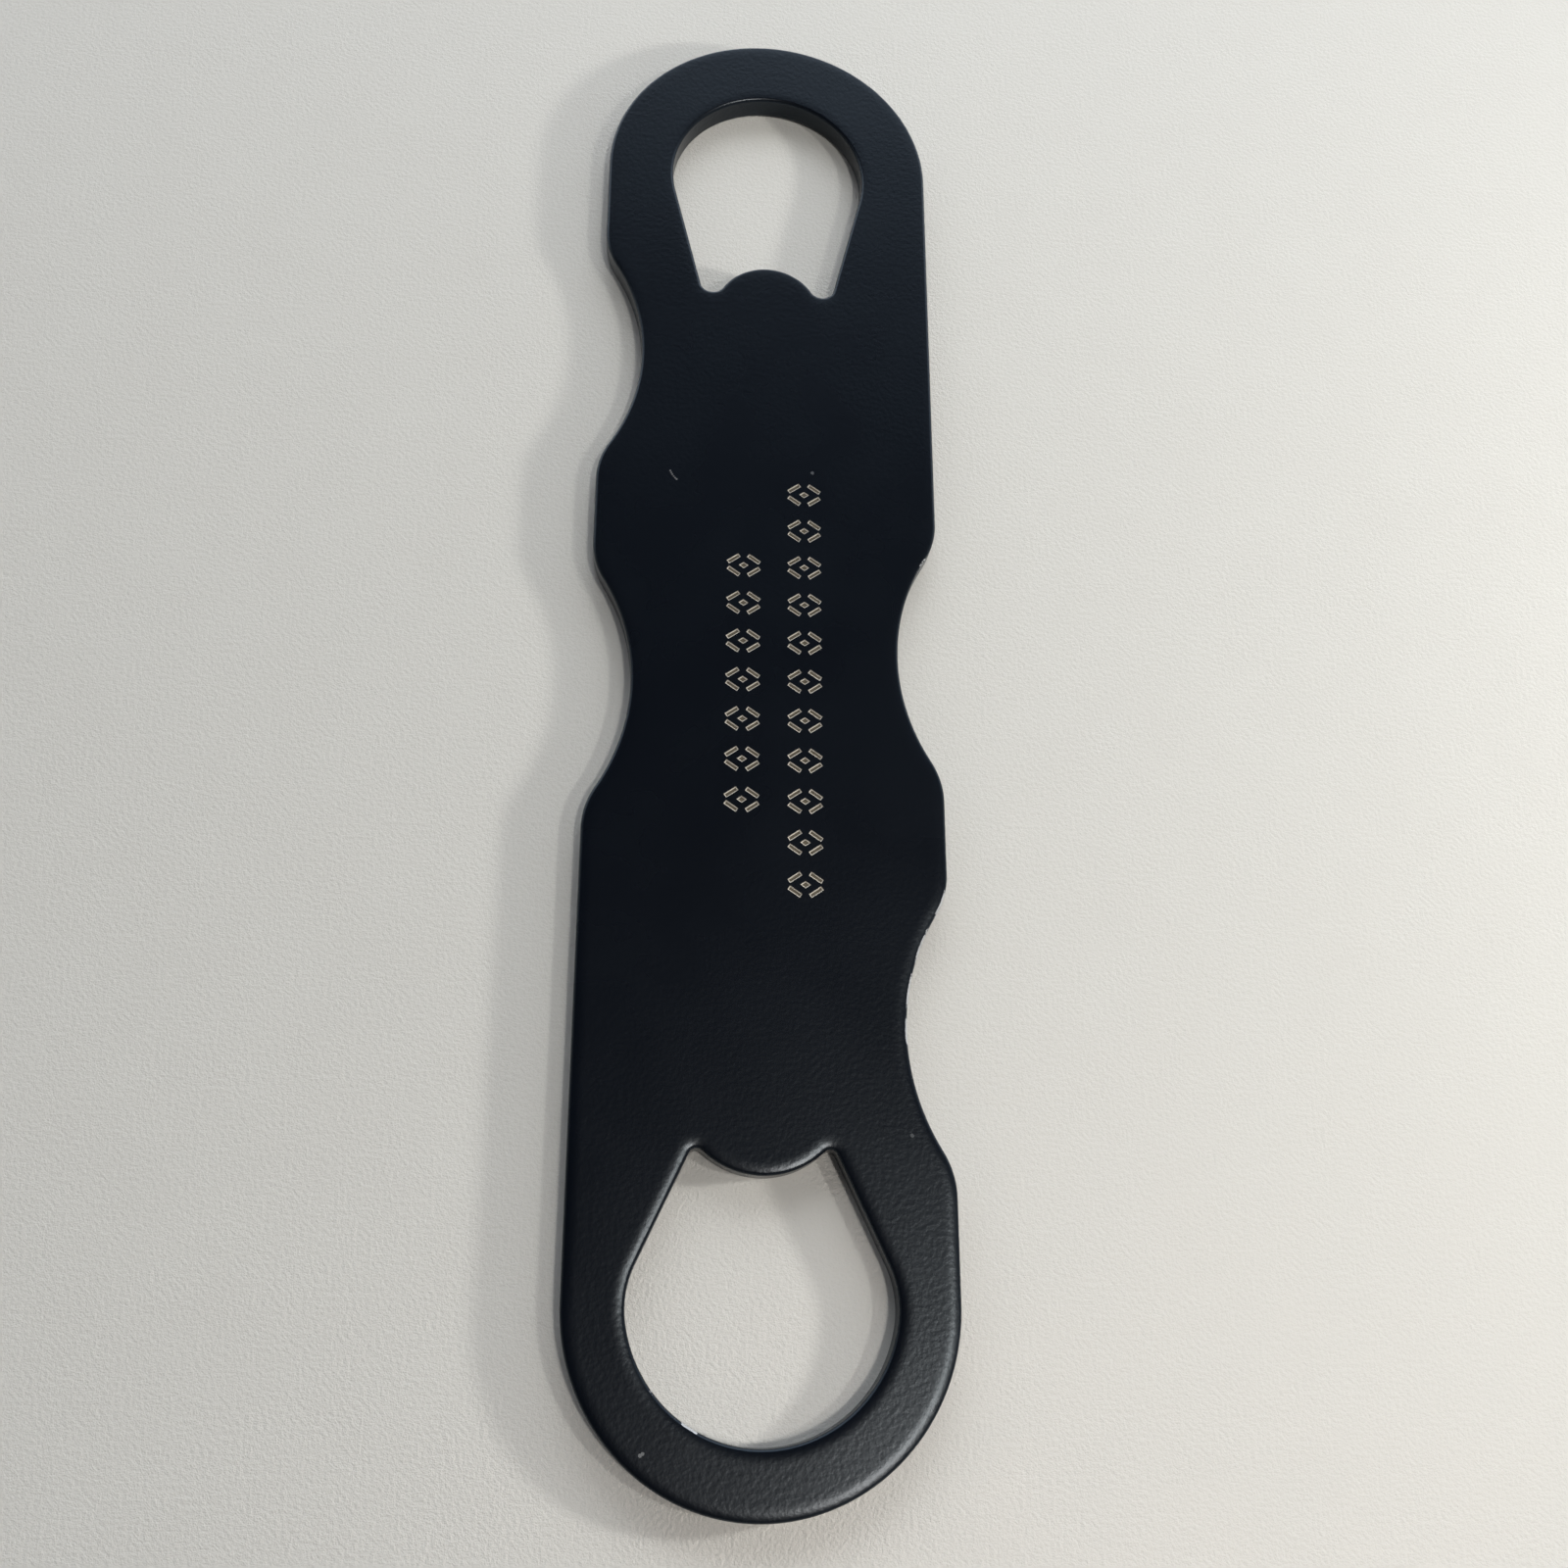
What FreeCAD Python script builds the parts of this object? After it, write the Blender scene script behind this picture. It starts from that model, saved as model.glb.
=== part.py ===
import FreeCAD, Part
import math
import os

# Flat pocket tool: a steel blank with a bottle-cap opening at one end and a wrench opening at the
# other, finger scallops along both sides, and a powder coat all over with an engraved ornament.
# Millimetres. X runs across the tool, Y along it towards the wrench opening, Z up from the face
# that it lies on. The origin is under the middle of the body.

# Body
BODY_LENGTH = 146.0
BODY_WIDTH = 33.0
BODY_THICKNESS = 2.6
EDGE_RADIUS = 0.35
COAT_THICKNESS = 0.09

# Finger scallops: two on each side, and a half turn about the middle swaps the sides
SCALLOP_RADIUS = 20.0
SCALLOP_DEPTH = 4.0
SCALLOP_CORNER_RADIUS = 7.5
SCALLOP_STAGGER = 1.75
SCALLOP_PITCH = 35.4

# Each opening has the centre of its round part this far in from its own end of the body.
# Cap opening: the flanks start inside the round part, so a blend joins them to it.
CAP_OPENING = {
    "end_to_centre": 16.8,
    "round_radius": 11.3,
    "flank_slope": math.radians(25.2),
    "flank_distance": 10.7,
    "blend_radius": 8.0,
    "tongue_reach": 17.55,
    "tongue_radius": 7.6,
    "corner_radius": 0.7,
}

# Wrench opening: the flanks are tangent to the round part, so it needs no blend
WRENCH_OPENING = {
    "end_to_centre": 17.0,
    "round_radius": 9.87,
    "flank_slope": math.radians(13.9),
    "flank_distance": 9.87,
    "blend_radius": None,
    "tongue_reach": 16.8,
    "tongue_radius": 5.3,
    "corner_radius": 1.25,
}

# Engraved ornament: two rows of lozenges, each of four bars round a small centre stud
LOZENGE_ACROSS = 4.3
LOZENGE_ALONG = 3.1
LOZENGE_PITCH = 3.93
BAR_WIDTH = 0.44
BAR_TRIM = 0.21
STUD_SCALE = 0.26
ROW_LENGTHWISE_CENTRE = -1.2
ROWS = (
    {"across": 3.65, "count": 11},
    {"across": -2.15, "count": 7},
)

HALF_WIDTH = BODY_WIDTH / 2
HALF_LENGTH = BODY_LENGTH / 2
CUT_MARGIN = 1.0


def point(x, y, z=0.0):
    return FreeCAD.Vector(x, y, z)


def between(start, end, share):
    """Point on the line from start to end, share of the way along."""
    return start + (end - start) * share


def short_arc(centre, start, end):
    """Arc of under half a turn about centre."""
    radius = (start - centre).Length
    middle_direction = (start - centre) + (end - centre)
    middle_direction.normalize()
    middle = centre + middle_direction * radius
    return Part.Arc(start, middle, end).toShape()


def line(start, end):
    return Part.LineSegment(start, end).toShape()


# Body outline. grow moves the outline outwards, so a negative grow gives the bare blank.

def scallop_edges(side, centre_y, travel, grow):
    """One scallop with its two rounded corners, and the points where it leaves the straight side."""
    notch_centre = point(side * (HALF_WIDTH - SCALLOP_DEPTH + SCALLOP_RADIUS), centre_y)
    centres_apart = SCALLOP_RADIUS + SCALLOP_CORNER_RADIUS
    across = SCALLOP_RADIUS - SCALLOP_DEPTH + SCALLOP_CORNER_RADIUS
    reach = math.sqrt(centres_apart ** 2 - across ** 2)
    corner_x = side * (HALF_WIDTH - SCALLOP_CORNER_RADIUS)
    corner_share = (SCALLOP_CORNER_RADIUS + grow) / centres_apart
    side_x = side * (HALF_WIDTH + grow)
    entry_corner = point(corner_x, centre_y - travel * reach)
    exit_corner = point(corner_x, centre_y + travel * reach)
    entry = point(side_x, centre_y - travel * reach)
    leave = point(side_x, centre_y + travel * reach)
    notch_start = between(entry_corner, notch_centre, corner_share)
    notch_end = between(exit_corner, notch_centre, corner_share)
    edges = [
        short_arc(entry_corner, entry, notch_start),
        short_arc(notch_centre, notch_start, notch_end),
        short_arc(exit_corner, notch_end, leave),
    ]
    return edges, entry, leave


def side_edges(side, travel, grow):
    """One long side with its two scallops, in the direction of travel."""
    side_x = side * (HALF_WIDTH + grow)
    straight_end = HALF_LENGTH - HALF_WIDTH
    here = point(side_x, -travel * straight_end)
    near = side * SCALLOP_STAGGER
    far = near - side * SCALLOP_PITCH
    edges = []
    for centre_y in sorted((near, far), reverse=travel < 0):
        scallop, entry, leave = scallop_edges(side, centre_y, travel, grow)
        edges.append(line(here, entry))
        edges.extend(scallop)
        here = leave
    edges.append(line(here, point(side_x, travel * straight_end)))
    return edges


def end_arc(end, grow):
    """Half round at one end of the body: end is 1 for the wrench end and -1 for the cap end."""
    centre_y = end * (HALF_LENGTH - HALF_WIDTH)
    radius = HALF_WIDTH + grow
    start = point(end * radius, centre_y)
    middle = point(0, centre_y + end * radius)
    finish = point(-end * radius, centre_y)
    return Part.Arc(start, middle, finish).toShape()


def body_outline(grow):
    edges = side_edges(1, 1, grow)
    edges.append(end_arc(1, grow))
    edges.extend(side_edges(-1, -1, grow))
    edges.append(end_arc(-1, grow))
    return Part.Wire(edges)


# Opening outlines. Each is drawn about its own centre with the tongue on the +Y side, and a positive
# grow moves the metal into the opening.

def right_flank_points(shape):
    """Centres on the right half of an opening that don't change as the outline grows."""
    outward = point(math.cos(shape["flank_slope"]), math.sin(shape["flank_slope"]))
    along = point(-math.sin(shape["flank_slope"]), math.cos(shape["flank_slope"]))
    tongue_centre = point(0, shape["tongue_reach"])
    corner_line = outward * (shape["flank_distance"] - shape["corner_radius"])
    to_corner_line = corner_line - tongue_centre
    half_b = to_corner_line.dot(along)
    centres_apart = shape["tongue_radius"] + shape["corner_radius"]
    gap = to_corner_line.dot(to_corner_line) - centres_apart ** 2
    corner_centre = corner_line + along * (-half_b - math.sqrt(half_b ** 2 - gap))
    blend_centre = None
    if shape["blend_radius"]:
        inset = shape["flank_distance"] - shape["blend_radius"]
        reach = shape["round_radius"] - shape["blend_radius"]
        blend_centre = outward * inset - along * math.sqrt(reach ** 2 - inset ** 2)
    return outward, tongue_centre, corner_centre, blend_centre


def right_side_edges(shape, grow):
    """From the round part up the right flank and round the corner to the tongue."""
    outward, tongue_centre, corner_centre, blend_centre = right_flank_points(shape)
    corner_radius = shape["corner_radius"] - grow
    round_radius = shape["round_radius"] - grow
    edges = []
    if blend_centre:
        blend_radius = shape["blend_radius"] - grow
        outwards_again = point(blend_centre.x, blend_centre.y)
        outwards_again.normalize()
        round_end = outwards_again * round_radius
        flank_start = blend_centre + outward * blend_radius
        edges.append(short_arc(blend_centre, round_end, flank_start))
    else:
        round_end = outward * round_radius
        flank_start = round_end
    flank_end = corner_centre + outward * corner_radius
    centres_apart = shape["tongue_radius"] + shape["corner_radius"]
    tongue_start = between(corner_centre, tongue_centre, corner_radius / centres_apart)
    edges.append(line(flank_start, flank_end))
    edges.append(short_arc(corner_centre, flank_end, tongue_start))
    return edges, round_end, tongue_start


def mirrored(point_on_right):
    return point(-point_on_right.x, point_on_right.y)


def opening_outline(shape, end, grow):
    """Closed outline of one opening, with its tongue towards the middle of the body."""
    right, round_end, tongue_start = right_side_edges(shape, grow)
    tongue_tip = point(0, shape["tongue_reach"] - shape["tongue_radius"] - grow)
    bottom = point(0, grow - shape["round_radius"])
    left = []
    for edge in reversed(right):
        left.append(edge.mirror(point(0, 0), point(1, 0)))
    edges = list(right)
    edges.append(Part.Arc(tongue_start, tongue_tip, mirrored(tongue_start)).toShape())
    edges.extend(left)
    edges.append(Part.Arc(mirrored(round_end), bottom, round_end).toShape())
    outline = Part.Wire(Part.sortEdges(edges)[0])
    if end > 0:
        outline.rotate(point(0, 0), point(0, 0, 1), 180)
    outline.translate(point(0, end * (HALF_LENGTH - shape["end_to_centre"])))
    return outline


# Solids

def rounded_plate(grow):
    """Plate with both openings, its edges rounded on both faces, grown from the finished surface."""
    outlines = [
        body_outline(grow),
        opening_outline(CAP_OPENING, -1, grow),
        opening_outline(WRENCH_OPENING, 1, grow),
    ]
    face = Part.makeFace(outlines, "Part::FaceMakerBullseye")
    face.translate(point(0, 0, -grow))
    thickness = BODY_THICKNESS + 2 * grow
    plate = face.extrude(point(0, 0, thickness))
    rims = []
    for plate_face in plate.Faces:
        if abs(plate_face.normalAt(0, 0).z) > 0.5:
            rims.extend(plate_face.Edges)
    return plate.makeFillet(EDGE_RADIUS + grow, rims)


def bar_cutter(start, end):
    """Straight engraved bar between two points, as a tall cutter."""
    along = end - start
    along.normalize()
    sideways = point(-along.y, along.x) * (BAR_WIDTH / 2)
    corners = [start + sideways, start - sideways, end - sideways, end + sideways]
    return prism(corners)


def prism(corners):
    """Tall cutter that reaches from inside the bare blank to above the coat."""
    base = BODY_THICKNESS - CUT_MARGIN
    outline = Part.makePolygon(corners + [corners[0]])
    face = Part.Face(outline)
    face.translate(point(0, 0, base))
    return face.extrude(point(0, 0, 2 * CUT_MARGIN))


def lozenge_cutters(centre):
    """Four separate bars round a lozenge and the stud in its middle."""
    across = LOZENGE_ACROSS / 2 - BAR_WIDTH / 2
    along = LOZENGE_ALONG / 2 - BAR_WIDTH / 2
    tips = [point(across, 0), point(0, along), point(-across, 0), point(0, -along)]
    cutters = []
    for index, tip in enumerate(tips):
        next_tip = tips[(index + 1) % len(tips)]
        start = centre + between(tip, next_tip, BAR_TRIM)
        end = centre + between(tip, next_tip, 1 - BAR_TRIM)
        cutters.append(bar_cutter(start, end))
    cutters.append(prism([centre + tip * STUD_SCALE for tip in tips]))
    return cutters


def ornament_cutters():
    cutters = []
    for row in ROWS:
        first = ROW_LENGTHWISE_CENTRE - LOZENGE_PITCH * (row["count"] - 1) / 2
        for index in range(row["count"]):
            centre = point(row["across"], first + index * LOZENGE_PITCH)
            cutters.extend(lozenge_cutters(centre))
    return cutters


def steel_blank():
    return rounded_plate(-COAT_THICKNESS)


def powder_coat(blank):
    """Even skin all over the blank, open where the ornament is engraved down to the steel."""
    skin = rounded_plate(0.0).cut(blank)
    return skin.cut(Part.makeCompound(ornament_cutters()))


def export(node, shape):
    """Write one node and print what shows that it is sound."""
    box = shape.optimalBoundingBox(False)
    print(node, "valid", shape.isValid(), "solids", len(shape.Solids), "volume", round(shape.Volume, 2))
    print("   x", round(box.XMin, 3), round(box.XMax, 3), "y", round(box.YMin, 3), round(box.YMax, 3),
          "z", round(box.ZMin, 3), round(box.ZMax, 3))
    shape.exportStep("parts/" + node + ".step")


os.makedirs("parts", exist_ok=True)
blank_solid = steel_blank()
export("steel_blank", blank_solid)
export("powder_coat", powder_coat(blank_solid))
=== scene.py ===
import math

import bpy
import numpy as np
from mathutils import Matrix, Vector
from mathutils.geometry import delaunay_2d_cdt


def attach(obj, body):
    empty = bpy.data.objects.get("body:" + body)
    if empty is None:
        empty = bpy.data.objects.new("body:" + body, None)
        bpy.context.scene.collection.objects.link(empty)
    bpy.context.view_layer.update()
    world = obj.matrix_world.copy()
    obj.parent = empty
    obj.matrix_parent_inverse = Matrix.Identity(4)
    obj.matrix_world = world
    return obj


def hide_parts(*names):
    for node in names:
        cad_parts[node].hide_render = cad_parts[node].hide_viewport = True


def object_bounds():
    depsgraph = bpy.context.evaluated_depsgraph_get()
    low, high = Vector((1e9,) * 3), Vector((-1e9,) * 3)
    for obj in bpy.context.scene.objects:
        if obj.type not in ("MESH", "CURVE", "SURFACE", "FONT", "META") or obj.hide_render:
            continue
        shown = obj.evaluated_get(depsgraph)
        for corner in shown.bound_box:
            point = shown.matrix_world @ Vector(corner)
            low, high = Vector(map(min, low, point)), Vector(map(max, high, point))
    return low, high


# Flat pocket tool: a steel blank with a bottle-cap opening at one end and a wrench opening at the
# other, under a satin powder coat that is engraved through to the steel. Lengths are millimetres
# until a mesh is made. X runs across the tool, Y along it towards the wrench opening, Z up.

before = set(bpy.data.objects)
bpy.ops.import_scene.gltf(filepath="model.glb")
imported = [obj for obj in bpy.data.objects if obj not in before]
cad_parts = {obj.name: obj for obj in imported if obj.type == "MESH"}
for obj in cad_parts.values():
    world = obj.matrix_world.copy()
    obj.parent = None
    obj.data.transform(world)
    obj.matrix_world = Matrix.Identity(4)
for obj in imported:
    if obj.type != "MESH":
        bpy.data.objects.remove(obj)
CAD_LOW, CAD_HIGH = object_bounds()
MILLIMETRE = 0.001

# Body, from the CAD box
BODY_WIDTH, BODY_LENGTH, BODY_THICKNESS = (round(side / MILLIMETRE, 1) for side in CAD_HIGH - CAD_LOW)
HALF_WIDTH = BODY_WIDTH / 2
HALF_LENGTH = BODY_LENGTH / 2
EDGE_RADIUS = 0.35
COAT_THICKNESS = 0.09

# The top face falls away gently before its rounded edge, most of all at the cap end. The change from
# the cap end's fall to the wrench end's share of it lies between two places along Y.
ROLLOVER_WIDTH = 1.15
ROLLOVER_SLOPE = math.radians(14)
ROLLOVER_CHANGE_FROM = -35.0
ROLLOVER_CHANGE_TO = 40.0
ROLLOVER_SHARE_AT_WRENCH = 0.22

# Finger scallops: two on each side, and a half turn about the middle swaps the sides
SCALLOP_RADIUS = 20.0
SCALLOP_DEPTH = 4.0
SCALLOP_CORNER_RADIUS = 7.5
SCALLOP_STAGGER = 1.75
SCALLOP_PITCH = 35.4

# Openings, each drawn about its own centre with its tongue on the +Y side
CAP_OPENING = {
    "end_to_centre": 16.8,
    "round_radius": 11.3,
    "flank_slope": math.radians(25.2),
    "flank_distance": 10.7,
    "blend_radius": 8.0,
    "tongue_reach": 17.55,
    "tongue_radius": 7.6,
    "corner_radius": 0.7,
}
WRENCH_OPENING = {
    "end_to_centre": 17.0,
    "round_radius": 9.87,
    "flank_slope": math.radians(13.9),
    "flank_distance": 9.87,
    "blend_radius": None,
    "tongue_reach": 16.8,
    "tongue_radius": 5.3,
    "corner_radius": 1.25,
}

# Engraved ornament: two rows of lozenges, each of four bars round a small centre stud
LOZENGE_ACROSS = 4.3
LOZENGE_ALONG = 3.1
LOZENGE_PITCH = 3.93
BAR_WIDTH = 0.44
BAR_TRIM = 0.21
STUD_SCALE = 0.26
ROW_LENGTHWISE_CENTRE = -1.2
ROWS = (
    {"across": 3.65, "count": 11},
    {"across": -2.15, "count": 7},
)

# Groove that the laser leaves in the steel: a bright lip, a short slope and a burnt floor
LASER_LIP_WIDTH = 0.085
LASER_SLOPE_WIDTH = 0.02
LASER_DEPTH = 0.03

# The coat wears through, and a highlight is painted, only on the upper part of the rounded edge
LOWEST_WORN_AND_HIGHLIGHT_TILT = math.radians(10)

# Mesh fineness
LONGEST_STEP = 0.45
SHARPEST_TURN = math.radians(5)
ROLLOVER_STEPS = 8
COAT_FILLET_STEPS = 10
BLANK_FILLET_STEPS = 5
MERGE_TOLERANCE = 1e-7


# Outlines. A sample is (x, y, normal_x, normal_y), its normal points out of the metal, and the metal
# is on the left of the way round.

def arc_samples(centre, radius, start, turn, convex):
    """Samples along an arc of metal edge, without its last point."""
    steps = max(math.ceil(abs(turn) / SHARPEST_TURN), math.ceil(abs(turn) * radius / LONGEST_STEP))
    facing = 1 if convex else -1
    samples = []
    for index in range(steps):
        angle = start + turn * index / steps
        across, along = math.cos(angle), math.sin(angle)
        place = (centre[0] + radius * across, centre[1] + radius * along)
        samples.append((*place, facing * across, facing * along))
    return samples


def line_samples(start, end, normal):
    """Samples along a straight metal edge, without its last point."""
    length = math.dist(start, end)
    steps = math.ceil(length / (2 * LONGEST_STEP))
    samples = []
    for index in range(steps):
        share = index / steps
        x = start[0] + (end[0] - start[0]) * share
        y = start[1] + (end[1] - start[1]) * share
        samples.append((x, y, *normal))
    return samples


def half_turned(samples):
    """The same edge turned by half a turn about the middle."""
    return [(-x, -y, -normal_x, -normal_y) for x, y, normal_x, normal_y in samples]


def scallop_samples(centre_y):
    """One scallop on the +X side, from its lower rounded corner to its upper one."""
    across = SCALLOP_RADIUS - SCALLOP_DEPTH + SCALLOP_CORNER_RADIUS
    centres_apart = SCALLOP_RADIUS + SCALLOP_CORNER_RADIUS
    reach = math.sqrt(centres_apart ** 2 - across ** 2)
    swing = math.atan2(reach, across)
    corner_x = HALF_WIDTH - SCALLOP_CORNER_RADIUS
    lower = (corner_x, centre_y - reach)
    upper = (corner_x, centre_y + reach)
    notch = (corner_x + across, centre_y)
    samples = arc_samples(lower, SCALLOP_CORNER_RADIUS, 0, swing, True)
    samples += arc_samples(notch, SCALLOP_RADIUS, math.pi + swing, -2 * swing, False)
    samples += arc_samples(upper, SCALLOP_CORNER_RADIUS, -swing, swing, True)
    return samples, centre_y - reach, centre_y + reach


def body_outline():
    """Outer edge, anticlockwise: the +X side and one round end, then the same half turned."""
    straight_end = HALF_LENGTH - HALF_WIDTH
    here = -straight_end
    half = []
    for centre_y in (SCALLOP_STAGGER - SCALLOP_PITCH, SCALLOP_STAGGER):
        scallop, entry, leave = scallop_samples(centre_y)
        half += line_samples((HALF_WIDTH, here), (HALF_WIDTH, entry), (1, 0))
        half += scallop
        here = leave
    half += line_samples((HALF_WIDTH, here), (HALF_WIDTH, straight_end), (1, 0))
    half += arc_samples((0, straight_end), HALF_WIDTH, 0, math.pi, True)
    return half + half_turned(half)


def opening_outline(shape, end):
    """Closed outline of one opening, with its tongue towards the middle of the body."""
    slope = shape["flank_slope"]
    outward = Vector((math.cos(slope), math.sin(slope)))
    along = Vector((-math.sin(slope), math.cos(slope)))
    corner_radius = shape["corner_radius"]
    tongue_radius = shape["tongue_radius"]
    tongue = Vector((0, shape["tongue_reach"]))
    corner_line = outward * (shape["flank_distance"] - corner_radius)
    to_corner_line = corner_line - tongue
    half_b = to_corner_line.dot(along)
    gap = to_corner_line.dot(to_corner_line) - (tongue_radius + corner_radius) ** 2
    corner = corner_line + along * (-half_b - math.sqrt(half_b ** 2 - gap))
    bottom = -math.pi / 2
    right = []
    if shape["blend_radius"]:
        inset = shape["flank_distance"] - shape["blend_radius"]
        reach = shape["round_radius"] - shape["blend_radius"]
        blend = outward * inset - along * math.sqrt(reach ** 2 - inset ** 2)
        round_end = math.atan2(blend.y, blend.x)
        right += arc_samples((0, 0), shape["round_radius"], bottom, round_end - bottom, False)
        right += arc_samples(blend, shape["blend_radius"], round_end, slope - round_end, False)
        flank_start = blend + outward * shape["blend_radius"]
    else:
        right += arc_samples((0, 0), shape["round_radius"], bottom, slope - bottom, False)
        flank_start = outward * shape["round_radius"]
    flank_end = corner + outward * corner_radius
    to_tongue = math.atan2(tongue.y - corner.y, tongue.x - corner.x)
    right += line_samples(flank_start, flank_end, (-outward.x, -outward.y))
    right += arc_samples(corner, corner_radius, slope, to_tongue - slope, False)
    right += arc_samples(tongue, tongue_radius, to_tongue - math.pi, math.pi / 2 - to_tongue, True)
    tip = (0, tongue.y - tongue_radius, 0, -1)
    left = [(-x, y, -normal_x, normal_y) for x, y, normal_x, normal_y in reversed(right[1:])]
    outline = right + [tip] + left
    if end > 0:
        outline = half_turned(outline)
    clockwise = outline[::-1]
    centre_y = end * (HALF_LENGTH - shape["end_to_centre"])
    return [(x, y + centre_y, *normal) for x, y, *normal in clockwise]


# Ornament outlines, anticlockwise

def bar_corners(start, end):
    """Corners of a straight bar of the ornament's stroke width."""
    along = (end - start).normalized()
    sideways = Vector((-along.y, along.x)) * (BAR_WIDTH / 2)
    return [start - sideways, end - sideways, end + sideways, start + sideways]


def ornament_outlines():
    """Every bar and centre stud of both rows."""
    across = LOZENGE_ACROSS / 2 - BAR_WIDTH / 2
    along = LOZENGE_ALONG / 2 - BAR_WIDTH / 2
    tips = [Vector((across, 0)), Vector((0, along)), Vector((-across, 0)), Vector((0, -along))]
    outlines = []
    for row in ROWS:
        first = ROW_LENGTHWISE_CENTRE - LOZENGE_PITCH * (row["count"] - 1) / 2
        for index in range(row["count"]):
            centre = Vector((row["across"], first + index * LOZENGE_PITCH))
            for tip, next_tip in zip(tips, tips[1:] + tips[:1]):
                start = centre + tip.lerp(next_tip, BAR_TRIM)
                end = centre + tip.lerp(next_tip, 1 - BAR_TRIM)
                outlines.append(bar_corners(start, end))
            outlines.append([centre + tip * STUD_SCALE for tip in tips])
    return outlines


def shrunk(corners, inset):
    """A convex outline with every side moved inwards by inset."""
    lines = []
    for corner, next_corner in zip(corners, corners[1:] + corners[:1]):
        along = (next_corner - corner).normalized()
        inward = Vector((-along.y, along.x))
        lines.append((corner + inward * inset, along))
    result = []
    for (before, before_along), (after, after_along) in zip(lines[-1:] + lines[:-1], lines):
        turn = before_along.cross(after_along)
        share = (after - before).cross(after_along) / turn
        result.append(before + before_along * share)
    return result


# Shells

class Shell:
    """Points, faces and their corner normals, gathered in millimetres and then made into a mesh."""

    def __init__(self):
        self.points = []
        self.edge_wear_and_highlight = []
        self.burn = []
        self.faces = []
        self.normals = []

    def add_point(self, x, y, z, edge_wear_and_highlight=0.0, burn=0.0):
        self.points.append((x, y, z))
        self.edge_wear_and_highlight.append(edge_wear_and_highlight)
        self.burn.append(burn)
        return len(self.points) - 1

    def add_face(self, corners, normals, flipped):
        """Adds a face; flipped turns it over, for a surface that faces into the metal."""
        if flipped:
            corners = corners[::-1]
            normals = [tuple(-part for part in normal) for normal in normals[::-1]]
        self.faces.append(corners)
        self.normals.extend(normals)

    def add_band(self, lower, upper, lower_normals, upper_normals, flipped):
        """Quads between two closed rings that have the metal on their left."""
        count = len(lower)
        for here in range(count):
            there = (here + 1) % count
            corners = [lower[here], lower[there], upper[there], upper[here]]
            normals = [lower_normals[here], lower_normals[there]]
            normals += [upper_normals[there], upper_normals[here]]
            self.add_face(corners, normals, flipped)

    def add_flat(self, rings, facing, flipped):
        """Flat face of the plate between its outer ring and its holes."""
        flat = [self.points[index][:2] for ring in rings for index in ring]
        owners = [index for ring in rings for index in ring]
        edges = []
        start = 0
        for ring in rings:
            count = len(ring)
            edges += [(start + here, start + (here + 1) % count) for here in range(count)]
            start += count
        made = delaunay_2d_cdt([Vector(place) for place in flat], edges, [], 0, MERGE_TOLERANCE)
        places, _, triangles, sources = made[:4]
        middles = []
        for triangle in triangles:
            middles.append(sum((places[index] for index in triangle), Vector((0, 0))) / 3)
        inside = crossings_are_odd(np.array(middles), np.array(flat), np.array(edges))
        for triangle, keep in zip(triangles, inside):
            if not keep:
                continue
            corners = [owners[sources[index][0]] for index in triangle]
            a, b, c = (Vector(self.points[index][:2]) for index in corners)
            if (b - a).cross(c - a) * facing < 0:
                corners = corners[::-1]
            self.add_face(corners, [(0, 0, facing)] * 3, flipped)

    def to_object(self, name, material):
        mesh = bpy.data.meshes.new(name)
        mesh.from_pydata([Vector(place) * MILLIMETRE for place in self.points], [], self.faces)
        for attribute_name in ("edge_wear_and_highlight", "burn"):
            attribute = mesh.attributes.new(attribute_name, "FLOAT", "POINT")
            attribute.data.foreach_set("value", getattr(self, attribute_name))
        mesh.shade_smooth()
        mesh.normals_split_custom_set(self.normals)
        mesh.materials.append(material)
        piece = bpy.data.objects.new(name, mesh)
        bpy.context.scene.collection.objects.link(piece)
        return piece


def crossings_are_odd(places, corners, edges):
    """Which of the places lie inside the area that the closed outlines bound."""
    inside = np.zeros(len(places), bool)
    starts, ends = corners[edges[:, 0]], corners[edges[:, 1]]
    for start, end in zip(starts, ends):
        rise = end[1] - start[1]
        if rise == 0:
            continue
        spans = (places[:, 1] < start[1]) != (places[:, 1] < end[1])
        meets = start[0] + (end[0] - start[0]) * (places[:, 1] - start[1]) / rise
        inside ^= spans & (places[:, 0] < meets)
    return inside


def rollover_slope(y):
    """How steeply the top face has fallen away where it meets the rounded edge."""
    share = (y - ROLLOVER_CHANGE_FROM) / (ROLLOVER_CHANGE_TO - ROLLOVER_CHANGE_FROM)
    share = min(max(share, 0.0), 1.0)
    return ROLLOVER_SLOPE * (1 + (ROLLOVER_SHARE_AT_WRENCH - 1) * share)


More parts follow.
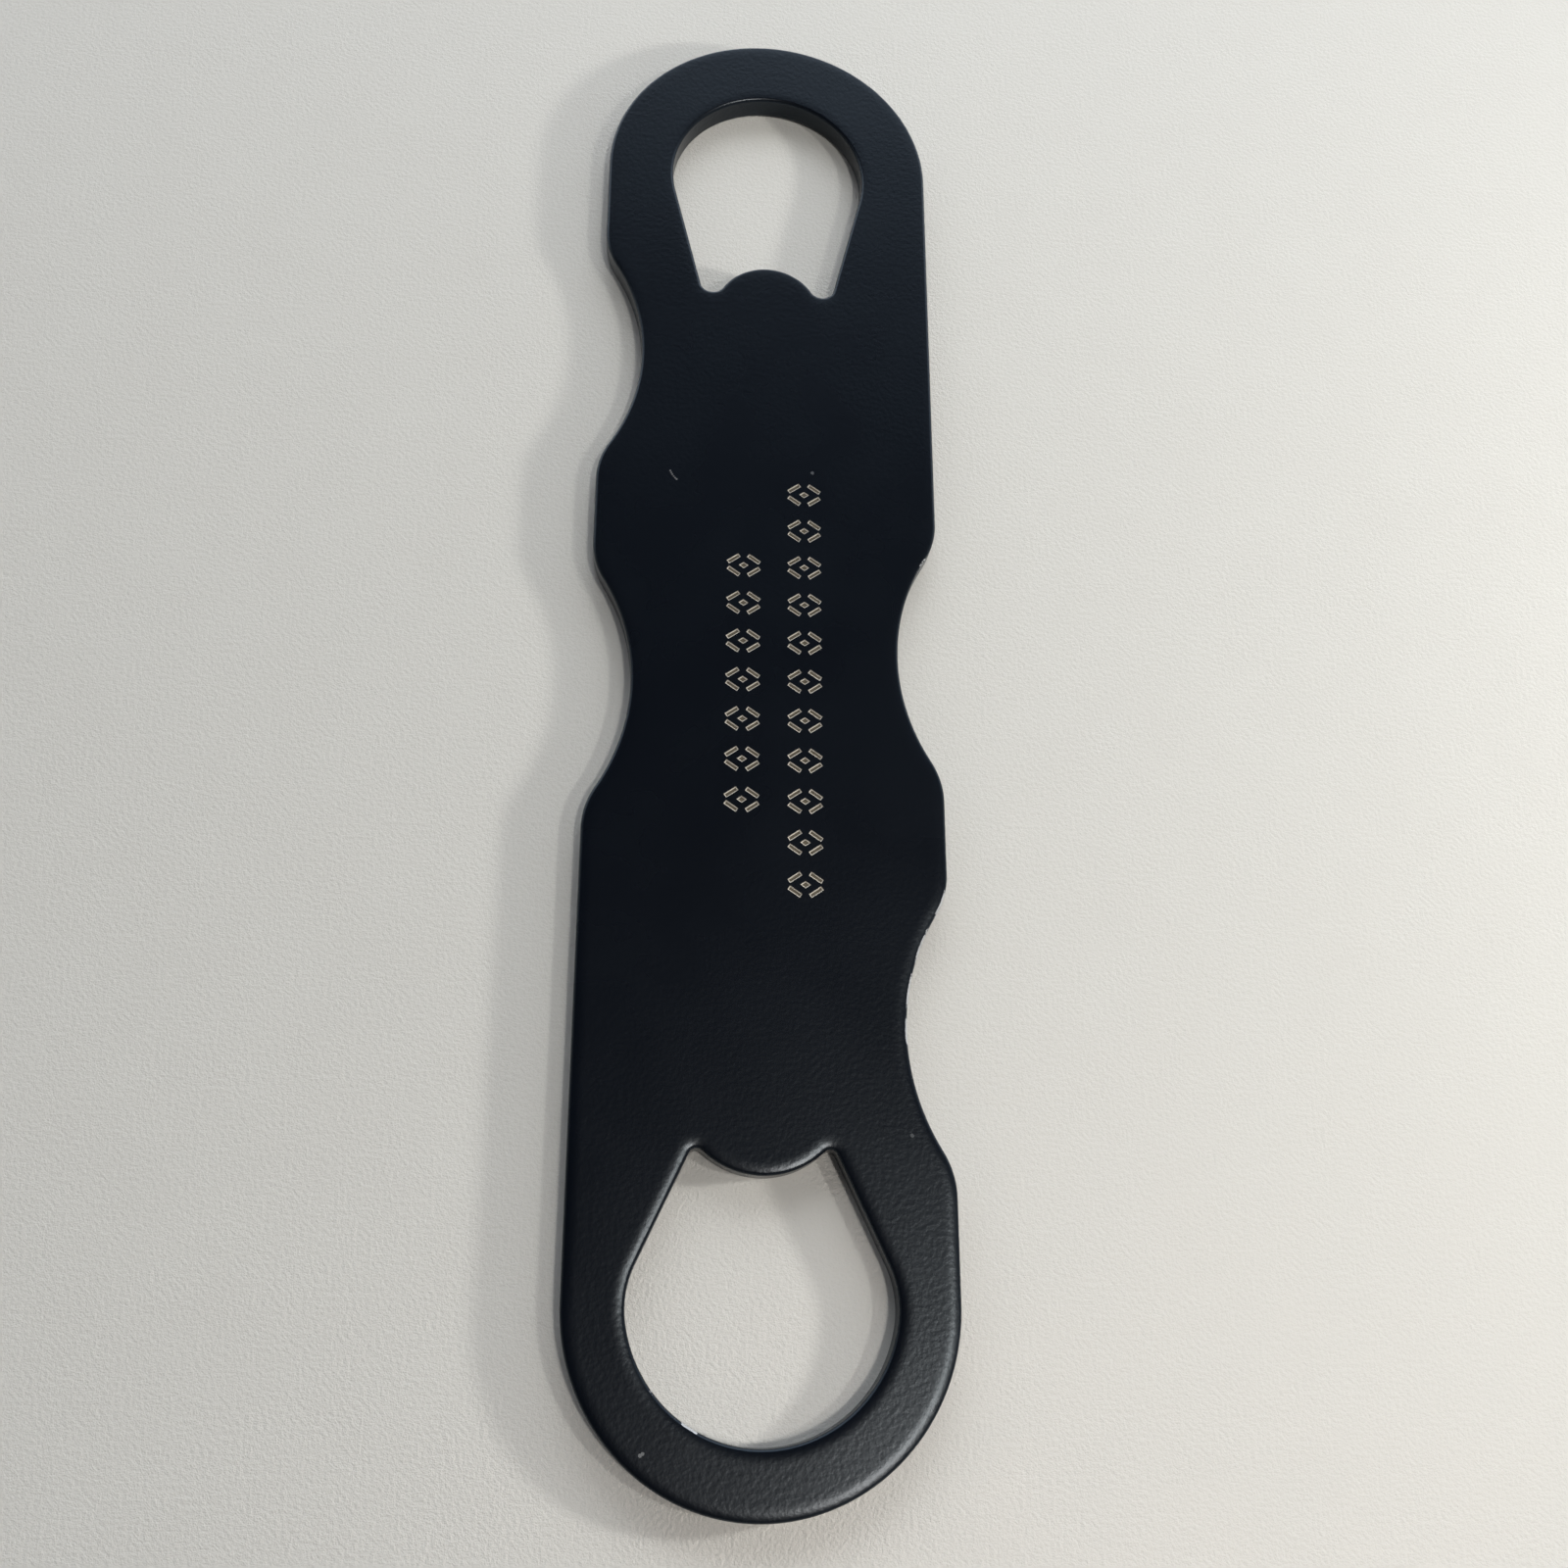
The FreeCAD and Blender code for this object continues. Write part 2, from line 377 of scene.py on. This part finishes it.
def edge_profile(y, grow, fillet_steps):
    """(inset, height, tilt) from the flat of the top face, over the edge, to the bottom face."""
    slope = rollover_slope(y)
    drop = ROLLOVER_WIDTH * math.tan(slope) / 3
    profile = []
    for step in range(ROLLOVER_STEPS):
        share = step / ROLLOVER_STEPS
        inset = EDGE_RADIUS * (1 - math.sin(slope)) + ROLLOVER_WIDTH * (1 - share)
        tilt = math.pi / 2 - math.atan(math.tan(slope) * share ** 2)
        profile.append((inset, BODY_THICKNESS - drop * share ** 3, tilt))
    arc_height = BODY_THICKNESS - drop - EDGE_RADIUS * math.cos(slope)
    for step in range(fillet_steps + 1):
        tilt = (math.pi / 2 - slope) * (1 - step / fillet_steps)
        inset = EDGE_RADIUS * (1 - math.cos(tilt))
        profile.append((inset, arc_height + EDGE_RADIUS * math.sin(tilt), tilt))
    for step in range(fillet_steps + 1):
        tilt = -math.pi / 2 * step / fillet_steps
        inset = EDGE_RADIUS * (1 - math.cos(tilt))
        profile.append((inset, EDGE_RADIUS * (1 + math.sin(tilt)), tilt))
    grown = []
    for inset, height, tilt in profile:
        grown.append((inset - grow * math.cos(tilt), height + grow * math.sin(tilt), tilt))
    return grown


def add_plate_surface(shell, outlines, windows, grow, fillet_steps, flipped):
    """Whole outside of the rounded plate, open at the windows in its top face."""
    top_rings = []
    bottom_rings = []
    for outline in outlines:
        columns = []
        for x, y, normal_x, normal_y in outline:
            column = []
            for inset, height, tilt in edge_profile(y, grow, fillet_steps):
                level = math.cos(tilt)
                place = (x - normal_x * inset, y - normal_y * inset, height)
                normal = (normal_x * level, normal_y * level, math.sin(tilt))
                # Worn coat and painted highlight follow how far the upper edge leans out; the lower part
                # of the edge gets none
                wear_and_highlight = level if tilt > LOWEST_WORN_AND_HIGHLIGHT_TILT else 0.0
                column.append((shell.add_point(*place, edge_wear_and_highlight=wear_and_highlight), normal))
            columns.append(column)
        rings = []
        ring_normals = []
        for entries in zip(*columns):
            rings.append([index for index, _ in entries])
            ring_normals.append([normal for _, normal in entries])
        for above in range(len(rings) - 1):
            below = above + 1
            shell.add_band(rings[below], rings[above], ring_normals[below], ring_normals[above], flipped)
        top_rings.append(rings[0])
        bottom_rings.append(rings[-1])
    top = BODY_THICKNESS + grow
    window_rings = []
    for window in windows:
        window_rings.append([shell.add_point(corner.x, corner.y, top) for corner in window])
    shell.add_flat(top_rings + window_rings, 1, flipped)
    shell.add_flat(bottom_rings, -1, flipped)
    return window_rings


def inward_normals(corners):
    """Level normals of an outline's sides, pointing into the window."""
    normals = []
    for corner, next_corner in zip(corners, corners[1:] + corners[:1]):
        along = (next_corner - corner).normalized()
        normals.append((-along.y, along.x, 0.0))
    return normals


def make_powder_coat(outlines, windows, material):
    """Even skin all over the blank, open where the ornament is engraved down to the steel."""
    shell = Shell()
    outer = add_plate_surface(shell, outlines, windows, 0.0, COAT_FILLET_STEPS, False)
    inner = add_plate_surface(shell, outlines, windows, -COAT_THICKNESS, COAT_FILLET_STEPS, True)
    for window, upper, lower in zip(windows, outer, inner):
        for here, normal in enumerate(inward_normals(window)):
            there = (here + 1) % len(window)
            corners = [lower[there], lower[here], upper[here], upper[there]]
            shell.add_face(corners, [normal] * 4, False)
    return shell.to_object("satin_powder_coat", material)


def make_steel_blank(outlines, windows, material):
    """Bare blank, with a shallow laser-burnt groove in the floor of every window."""
    shell = Shell()
    rims = add_plate_surface(shell, outlines, windows, -COAT_THICKNESS, BLANK_FILLET_STEPS, False)
    top = BODY_THICKNESS - COAT_THICKNESS
    for window, rim in zip(windows, rims):
        lip = shrunk(window, LASER_LIP_WIDTH)
        floor = shrunk(window, LASER_LIP_WIDTH + LASER_SLOPE_WIDTH)
        lip_ring = [shell.add_point(corner.x, corner.y, top) for corner in lip]
        floor_ring = []
        for corner in floor:
            floor_ring.append(shell.add_point(corner.x, corner.y, top - LASER_DEPTH, burn=1.0))
        up = [(0, 0, 1)] * 4
        for outer, inner in ((rim, lip_ring), (lip_ring, floor_ring)):
            for here in range(len(window)):
                there = (here + 1) % len(window)
                shell.add_face([outer[here], outer[there], inner[there], inner[here]], up, False)
        shell.add_face(floor_ring, up, False)
    return shell.to_object("bare_steel_blank", material)


# Shader helpers

def new_group(name, inputs, outputs):
    """Node group with named sockets: inputs give (name, type, value) and outputs (name, type)."""
    group = bpy.data.node_groups.new(name, "ShaderNodeTree")
    for socket_name, kind, value in inputs:
        socket = group.interface.new_socket(socket_name, in_out="INPUT", socket_type="NodeSocket" + kind)
        if value is not None:
            socket.default_value = value
    for socket_name, kind in outputs:
        group.interface.new_socket(socket_name, in_out="OUTPUT", socket_type="NodeSocket" + kind)
    return group, group.nodes.new("NodeGroupInput").outputs, group.nodes.new("NodeGroupOutput").inputs


def feed(tree, socket, value):
    """Puts a link, a number or a vector into an input socket."""
    if isinstance(value, bpy.types.NodeSocket):
        tree.links.new(value, socket)
    else:
        socket.default_value = value


def maths(tree, operation, first, second=0.0, third=0.0):
    node = tree.nodes.new("ShaderNodeMath")
    node.operation = operation
    for socket, value in zip(node.inputs, (first, second, third)):
        feed(tree, socket, value)
    return node.outputs["Value"]


def noise(tree, place, scale, detail=2.0, roughness=0.5):
    node = tree.nodes.new("ShaderNodeTexNoise")
    feed(tree, node.inputs["Vector"], place)
    feed(tree, node.inputs["Scale"], scale)
    node.inputs["Detail"].default_value = detail
    node.inputs["Roughness"].default_value = roughness
    return node.outputs["Fac"]


def ramp(tree, value, low, high, low_result=0.0, high_result=1.0):
    """Smooth step from low_result to high_result as value goes from low to high."""
    node = tree.nodes.new("ShaderNodeMapRange")
    node.interpolation_type = "SMOOTHSTEP"
    for name, number in zip(("Value", "From Min", "From Max", "To Min", "To Max"),
                            (value, low, high, low_result, high_result)):
        feed(tree, node.inputs[name], number)
    return node.outputs["Result"]


def mix_colour(tree, share, first, second):
    """The first colour where share is 0 and the second where it is 1."""
    node = tree.nodes.new("ShaderNodeMix")
    node.data_type = "RGBA"
    feed(tree, node.inputs["Factor"], share)
    for name, colour in (("A", first), ("B", second)):
        socket = [s for s in node.inputs if s.name == name and s.type == "RGBA"][0]
        feed(tree, socket, colour)
    return [s for s in node.outputs if s.type == "RGBA"][0]


def use_group(tree, group, **values):
    """Places a node group; an underscore in a name stands for the space in its socket's name."""
    node = tree.nodes.new("ShaderNodeGroup")
    node.node_tree = group
    for name, value in values.items():
        feed(tree, node.inputs[name.replace("_", " ")], value)
    return node.outputs


def place_in_millimetres(tree):
    place = tree.nodes.new("ShaderNodeTexCoord").outputs["Object"]
    scale = tree.nodes.new("ShaderNodeVectorMath")
    scale.operation = "SCALE"
    tree.links.new(place, scale.inputs[0])
    scale.inputs["Scale"].default_value = 1 / MILLIMETRE
    return scale.outputs["Vector"]


def point_value(tree, name):
    """A value that the mesh holds at its points."""
    node = tree.nodes.new("ShaderNodeAttribute")
    node.attribute_name = name
    return node.outputs["Fac"]


def bumped(tree, height, depth):
    """Normal of a surface whose height, from 0 to 1, stands for this depth."""
    node = tree.nodes.new("ShaderNodeBump")
    node.inputs["Distance"].default_value = depth * MILLIMETRE
    tree.links.new(height, node.inputs["Height"])
    return node.outputs["Normal"]


def new_material(name):
    """A material, its node tree and the inputs of its shader."""
    material = bpy.data.materials.new(name)
    material.use_nodes = True
    tree = material.node_tree
    return material, tree, tree.nodes["Principled BSDF"].inputs


# Shared effects

# How many grains, and how much of a slow patch, go to one cell of the orange peel
GRAINS_PER_CELL = 3.1
PATCHES_PER_CELL = 0.045

# Dust specks, in shares of their spacing
SMALLEST_SPECK = 0.012
SPECK_VARIATION = 0.035
SPECK_RAGGEDNESS = 0.03
HALF_RAGGEDNESS = 0.015
SPECK_GRAIN_SCALE = 5.0


def make_orange_peel():
    """Soft cells of sprayed coating or moulded laminate: a height, and a slow drift."""
    group, given, result = new_group(
        "Orange peel",
        [("Place", "Vector", None), ("Cell size", "Float", 0.3), ("Grain share", "Float", 0.3)],
        [("Height", "Float"), ("Drift", "Float")])
    per_cell = maths(group, "DIVIDE", 1.0, given["Cell size"])
    per_grain = maths(group, "MULTIPLY", per_cell, GRAINS_PER_CELL)
    per_patch = maths(group, "MULTIPLY", per_cell, PATCHES_PER_CELL)
    cells = noise(group, given["Place"], per_cell, 1.0)
    grain = noise(group, given["Place"], per_grain, 2.0)
    grain = maths(group, "MULTIPLY", grain, given["Grain share"])
    feed(group, result["Height"], maths(group, "ADD", cells, grain))
    feed(group, result["Drift"], noise(group, given["Place"], per_patch, 3.0))
    return group


def make_spot_closeness():
    """How close a place is to one spot, from 1 at the spot to 0 at its reach."""
    group, given, result = new_group(
        "Closeness to a spot",
        [("Place", "Vector", None), ("Spot", "Vector", None), ("Reach", "Float", 3.0)],
        [("Closeness", "Float")])
    distance = group.nodes.new("ShaderNodeVectorMath")
    distance.operation = "DISTANCE"
    feed(group, distance.inputs[0], given["Place"])
    feed(group, distance.inputs[1], given["Spot"])
    share = maths(group, "DIVIDE", distance.outputs["Value"], given["Reach"])
    feed(group, result["Closeness"], ramp(group, share, 0.0, 1.0, 1.0, 0.0))
    return group


def make_specks():
    """Sparse dust specks of uneven size."""
    group, given, result = new_group(
        "Dust specks",
        [("Place", "Vector", None), ("Spacing", "Float", 3.0), ("Share", "Float", 0.1)],
        [("Mask", "Float")])
    cells = group.nodes.new("ShaderNodeTexVoronoi")
    cells.feature = "F1"
    feed(group, cells.inputs["Vector"], given["Place"])
    feed(group, cells.inputs["Scale"], maths(group, "DIVIDE", 1.0, given["Spacing"]))
    tint = group.nodes.new("ShaderNodeSeparateColor")
    feed(group, tint.inputs["Color"], cells.outputs["Color"])
    chosen = maths(group, "LESS_THAN", tint.outputs["Red"], given["Share"])
    size = maths(group, "MULTIPLY_ADD", tint.outputs["Green"], SPECK_VARIATION, SMALLEST_SPECK)
    ragged = noise(group, given["Place"], SPECK_GRAIN_SCALE, 2.0)
    ragged = maths(group, "MULTIPLY", ragged, SPECK_RAGGEDNESS)
    distance = maths(group, "ADD", cells.outputs["Distance"], ragged)
    near = maths(group, "LESS_THAN", distance, maths(group, "ADD", size, HALF_RAGGEDNESS))
    feed(group, result["Mask"], maths(group, "MULTIPLY", near, chosen))
    return group


ORANGE_PEEL = make_orange_peel()
SPOT_CLOSENESS = make_spot_closeness()
DUST_SPECKS = make_specks()


# Materials. Each spot below is its place across and along the body, and its reach.

# Spots on the upper edge, down the side with +X and then beside the cap opening, where the coat is worn to
# pale steel; down the +X side they also paint the highlight of the low side lamp
WORN_AND_HIGHLIGHT_HEIGHT = 1.9
WORN_AND_HIGHLIGHT_SPOTS = (
    (15.7, -22.4, 2.6),
    (14.4, -26.3, 3.2),
    (12.9, -30.2, 3.2),
    (12.6, -34.0, 2.6),
    (15.8, 11.4, 2.0),
    (16.3, -13.0, 0.7),
    (-6.0, -66.0, 2.0),
    (-9.0, -63.5, 1.2),
)

# A fleck beside the cap opening, then a short hooked scratch towards the wrench end
GREY_MARKS = (
    (-9.68, -67.95, 0.28),
    (-9.48, -67.82, 0.26),
    (-9.36, 20.4, 0.17),
    (-9.27, 20.2, 0.15),
    (-9.16, 20.0, 0.15),
    (-9.02, 19.8, 0.15),
    (-8.88, 19.64, 0.16),
    (-8.74, 19.5, 0.18),
)

# Roughness goes from its first value to its second as the drift of the orange peel crosses this range
DRIFT_RANGE = (0.3, 0.7)

# Powder coat
COAT_TONES = ((0.0011, 0.0018, 0.0037, 1), (0.0018, 0.0028, 0.0054, 1))
COAT_SHEEN_TINT = (0.67, 0.84, 1.0, 1)
COAT_ROUGHNESS = (0.265, 0.285)
COAT_PEEL_CELL = 0.42
COAT_PEEL_GRAIN = 0.22
COAT_PEEL_DEPTH = 0.013

# Dust on the coat
DUST_TONE = (0.12, 0.12, 0.12, 1)
DUST_SPACING = 4.2
DUST_SHARE = 0.16
DUST_STRENGTH = 0.5
DUST_ROUGHENING = 0.3

# Fleck and scratch on the coat
MARK_TONE = (0.2, 0.2, 0.2, 1)
MARK_STRENGTH = 0.8
MARK_BORDER = (0.3, 0.6)

# Chips in the coat, with a painted highlight on the edge: pale, part-metal marks where closeness to a spot
# on a rounded edge and a ragged noise together pass a border
CHIP_AND_HIGHLIGHT_TONE = (0.5, 0.5, 0.51, 1)
CHIP_AND_HIGHLIGHT_METAL_SHARE = 0.35
CHIP_AND_HIGHLIGHT_DEPTH_SHARE = 0.8
CHIP_AND_HIGHLIGHT_EDGE_BORDER = (0.35, 0.6)
CHIP_AND_HIGHLIGHT_SPOT_SHARE = 0.6
CHIP_AND_HIGHLIGHT_BORDER = (0.8, 0.86)
CHIP_AND_HIGHLIGHT_NOISE_SCALE = 3.2
CHIP_AND_HIGHLIGHT_NOISE_DETAIL = 3.0
CHIP_AND_HIGHLIGHT_NOISE_ROUGHNESS = 0.65

# Laser-marked steel
BRIGHT_STEEL_TONES = ((0.70, 0.65, 0.55, 1), (0.92, 0.87, 0.76, 1))
BURNT_STEEL_TONES = ((0.055, 0.045, 0.028, 1), (0.15, 0.125, 0.085, 1))
STEEL_METAL_SHARE = 0.15
STEEL_ROUGHNESS = (0.42, 0.6)
STEEL_MOTTLE_SHARE = 0.8
STEEL_CELL = 0.09
STEEL_GRAIN = 0.6
STEEL_DEPTH = 0.006

# Floor laminate
LAMINATE_TONES = ((0.685, 0.665, 0.62, 1), (0.695, 0.68, 0.635, 1))
LAMINATE_ROUGHNESS = (0.33, 0.38)
LAMINATE_CELL = 0.36
LAMINATE_GRAIN = 0.6
LAMINATE_DEPTH = 0.055


def nearness(tree, place, height, spots):
    """How near the closest of the spots is, from 1 at a spot to 0 at its reach."""
    strongest = 0.0
    for x, y, reach in spots:
        spot = (x, y, height)
        near = use_group(tree, SPOT_CLOSENESS, Place=place, Spot=spot, Reach=reach)["Closeness"]
        strongest = maths(tree, "MAXIMUM", near, strongest)
    return strongest


def make_satin_powder_coat():
    material, tree, shader = new_material("satin powder coat")
    place = place_in_millimetres(tree)
    peel = use_group(tree, ORANGE_PEEL, Place=place, Cell_size=COAT_PEEL_CELL, Grain_share=COAT_PEEL_GRAIN)
    dust = use_group(tree, DUST_SPECKS, Place=place, Spacing=DUST_SPACING, Share=DUST_SHARE)["Mask"]
    marks = ramp(tree, nearness(tree, place, BODY_THICKNESS, GREY_MARKS), *MARK_BORDER)
    # Worn coat and a painted highlight on the upper rounded edge, near the listed spots
    on_edge = ramp(tree, point_value(tree, "edge_wear_and_highlight"), *CHIP_AND_HIGHLIGHT_EDGE_BORDER)
    rub_and_highlight = maths(tree, "MULTIPLY", on_edge, nearness(tree, place, WORN_AND_HIGHLIGHT_HEIGHT, WORN_AND_HIGHLIGHT_SPOTS))
    ragged = noise(tree, place, CHIP_AND_HIGHLIGHT_NOISE_SCALE, CHIP_AND_HIGHLIGHT_NOISE_DETAIL, CHIP_AND_HIGHLIGHT_NOISE_ROUGHNESS)
    wear_and_highlight = maths(tree, "ADD", maths(tree, "MULTIPLY", rub_and_highlight, CHIP_AND_HIGHLIGHT_SPOT_SHARE), ragged)
    chips_and_highlight = ramp(tree, wear_and_highlight, *CHIP_AND_HIGHLIGHT_BORDER)
    tone = mix_colour(tree, peel["Drift"], *COAT_TONES)
    tone = mix_colour(tree, maths(tree, "MULTIPLY", dust, DUST_STRENGTH), tone, DUST_TONE)
    tone = mix_colour(tree, maths(tree, "MULTIPLY", marks, MARK_STRENGTH), tone, MARK_TONE)
    # Pale chips, which also paint the highlight on the edge that faces the low side lamp
    tone = mix_colour(tree, chips_and_highlight, tone, CHIP_AND_HIGHLIGHT_TONE)
    feed(tree, shader["Base Color"], tone)
    feed(tree, shader["Metallic"], maths(tree, "MULTIPLY", chips_and_highlight, CHIP_AND_HIGHLIGHT_METAL_SHARE))
    satin = ramp(tree, peel["Drift"], *DRIFT_RANGE, *COAT_ROUGHNESS)
    dusty = maths(tree, "MULTIPLY", dust, DUST_ROUGHENING)
    feed(tree, shader["Roughness"], maths(tree, "ADD", satin, dusty))
    sunk = maths(tree, "MULTIPLY", chips_and_highlight, CHIP_AND_HIGHLIGHT_DEPTH_SHARE)
    height = maths(tree, "SUBTRACT", peel["Height"], sunk)
    feed(tree, shader["Normal"], bumped(tree, height, COAT_PEEL_DEPTH))
    shader["Specular Tint"].default_value = COAT_SHEEN_TINT
    return material


def make_laser_marked_steel():
    material, tree, shader = new_material("laser marked steel")
    place = place_in_millimetres(tree)
    grain = use_group(tree, ORANGE_PEEL, Place=place, Cell_size=STEEL_CELL, Grain_share=STEEL_GRAIN)
    burn = point_value(tree, "burn")
    mottled = maths(tree, "MULTIPLY", grain["Height"], STEEL_MOTTLE_SHARE)
    bright = mix_colour(tree, mottled, *BRIGHT_STEEL_TONES)
    burnt = mix_colour(tree, mottled, *BURNT_STEEL_TONES)
    feed(tree, shader["Base Color"], mix_colour(tree, burn, bright, burnt))
    shader["Metallic"].default_value = STEEL_METAL_SHARE
    feed(tree, shader["Roughness"], ramp(tree, burn, 0.0, 1.0, *STEEL_ROUGHNESS))
    feed(tree, shader["Normal"], bumped(tree, grain["Height"], STEEL_DEPTH))
    return material


def make_pale_laminate():
    material, tree, shader = new_material("pale laminate")
    place = place_in_millimetres(tree)
    peel = use_group(tree, ORANGE_PEEL, Place=place, Cell_size=LAMINATE_CELL, Grain_share=LAMINATE_GRAIN)
    feed(tree, shader["Base Color"], mix_colour(tree, peel["Drift"], *LAMINATE_TONES))
    feed(tree, shader["Roughness"], ramp(tree, peel["Drift"], *DRIFT_RANGE, *LAMINATE_ROUGHNESS))
    feed(tree, shader["Normal"], bumped(tree, peel["Height"], LAMINATE_DEPTH))
    return material


# Floor, light and camera

FLOOR_SIDE = 3000
LAMP_WHITE = (1.0, 0.99, 0.96)

# Name, azimuth and elevation, angular radius, distance in metres, light on a surface that faces the
# lamp, colour, and the kind of surface it lights. Azimuth is from +X towards +Y; angles are degrees.
LAMPS = (
    ("low_side_lamp", -4, 19.9, 2.6, 0.28, 1.95, LAMP_WHITE, "matt"),
    ("side_lamp", -16.6, 48.8, 2.2, 0.7, 0.52, LAMP_WHITE, "matt"),
    ("high_lamp", -42.8, 69.8, 2.2, 0.9, 0.62, LAMP_WHITE, "matt"),
    ("window_lamp", 86, 33, 18, 0.32, 0.85, (0.97, 1.0, 1.0), "matt"),
    ("key_gloss", -46, 67, 5.0, 1.5, 0.95, (1.0, 0.82, 0.7), "gloss"),
    ("ceiling_gloss", -18, 68, 5.5, 1.5, 0.55, (1.0, 0.88, 0.76), "gloss"),
    ("side_gloss", -10, 52, 6.0, 1.5, 0.05, (1.0, 0.92, 0.82), "gloss"),
    ("window_gloss", 79, 37, 13, 1.5, 0.06, (0.84, 0.92, 1.0), "gloss"),
)

# Room round the lamps. A wall fades into the next, and into the ceiling, between two directions.
LEFT_WALL_LIGHT = (0.19, 0.18, 0.17, 1)
RIGHT_WALL_LIGHT = (0.36, 0.36, 0.36, 1)
BACK_WALL_LIGHT = (1.6, 1.72, 1.9, 1)
CEILING_LIGHT = (0.02, 0.022, 0.03, 1)
LEFT_TO_RIGHT = (-0.5, 0.8)
SIDES_TO_BACK = (0.15, 0.85)
WALLS_TO_CEILING = (math.sin(math.radians(31)), math.sin(math.radians(49)))

CAMERA_LENS = 37.835
CAMERA_SENSOR_WIDTH = 36.0
CAMERA_NEAREST = 5
CAMERA_PLACE = Vector((-11.860, -61.683, 142.986))
CAMERA_TURN = (19.617, -5.522, 0.0187)


def make_floor(material):
    mesh = bpy.data.meshes.new("pale_floor")
    half = FLOOR_SIDE / 2 * MILLIMETRE
    corners = [(-half, -half, 0), (half, -half, 0), (half, half, 0), (-half, half, 0)]
    mesh.from_pydata(corners, [], [(0, 1, 2, 3)])
    mesh.materials.append(material)
    floor = bpy.data.objects.new("pale_floor", mesh)
    bpy.context.scene.collection.objects.link(floor)


def make_disc_lamp(name, azimuth, elevation, angular_radius, distance, facing_light, colour, kind):
    """Round lamp turned to the object, which lights only matt surfaces or only gloss."""
    level = math.cos(math.radians(elevation))
    towards = Vector((
        level * math.cos(math.radians(azimuth)),
        level * math.sin(math.radians(azimuth)),
        math.sin(math.radians(elevation)),
    ))
    light = bpy.data.lights.new(name, "AREA")
    light.shape = "DISK"
    light.size = 2 * distance * math.tan(math.radians(angular_radius))
    light.energy = facing_light * math.pi * distance ** 2
    light.color = colour
    lamp = bpy.data.objects.new(name, light)
    lamp.location = towards * distance
    lamp.rotation_euler = towards.to_track_quat("Z", "Y").to_euler()
    lamp.visible_diffuse = kind == "matt"
    lamp.visible_glossy = kind == "gloss"
    bpy.context.scene.collection.objects.link(lamp)


def make_soft_room():
    """Soft light from round the room, bright behind the wrench end and dim elsewhere and overhead."""
    world = bpy.data.worlds.new("soft room")
    bpy.context.scene.world = world
    world.use_nodes = True
    tree = world.node_tree
    direction = tree.nodes.new("ShaderNodeTexCoord").outputs["Generated"]
    parts = tree.nodes.new("ShaderNodeSeparateXYZ")
    tree.links.new(direction, parts.inputs["Vector"])
    right = ramp(tree, parts.outputs["X"], *LEFT_TO_RIGHT)
    behind = ramp(tree, parts.outputs["Y"], *SIDES_TO_BACK)
    overhead = ramp(tree, parts.outputs["Z"], *WALLS_TO_CEILING)
    sides = mix_colour(tree, right, LEFT_WALL_LIGHT, RIGHT_WALL_LIGHT)
    walls = mix_colour(tree, behind, sides, BACK_WALL_LIGHT)
    room = mix_colour(tree, overhead, walls, CEILING_LIGHT)
    feed(tree, tree.nodes["Background"].inputs["Color"], room)


def make_camera():
    camera_data = bpy.data.cameras.new("camera")
    camera_data.lens = CAMERA_LENS
    camera_data.sensor_width = CAMERA_SENSOR_WIDTH
    camera_data.clip_start = CAMERA_NEAREST * MILLIMETRE
    camera = bpy.data.objects.new("camera", camera_data)
    camera.location = CAMERA_PLACE * MILLIMETRE
    camera.rotation_euler = [math.radians(angle) for angle in CAMERA_TURN]
    bpy.context.scene.collection.objects.link(camera)
    bpy.context.scene.camera = camera


# The whole scene

outlines = [body_outline(), opening_outline(CAP_OPENING, -1), opening_outline(WRENCH_OPENING, 1)]
windows = ornament_outlines()

coat = make_powder_coat(outlines, windows, make_satin_powder_coat())
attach(coat, "root")
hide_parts("powder_coat")

blank = make_steel_blank(outlines, windows, make_laser_marked_steel())
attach(blank, "root")
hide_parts("steel_blank")

make_floor(make_pale_laminate())
make_soft_room()
for lamp in LAMPS:
    make_disc_lamp(*lamp)
make_camera()
bpy.context.scene.view_settings.view_transform = "Standard"
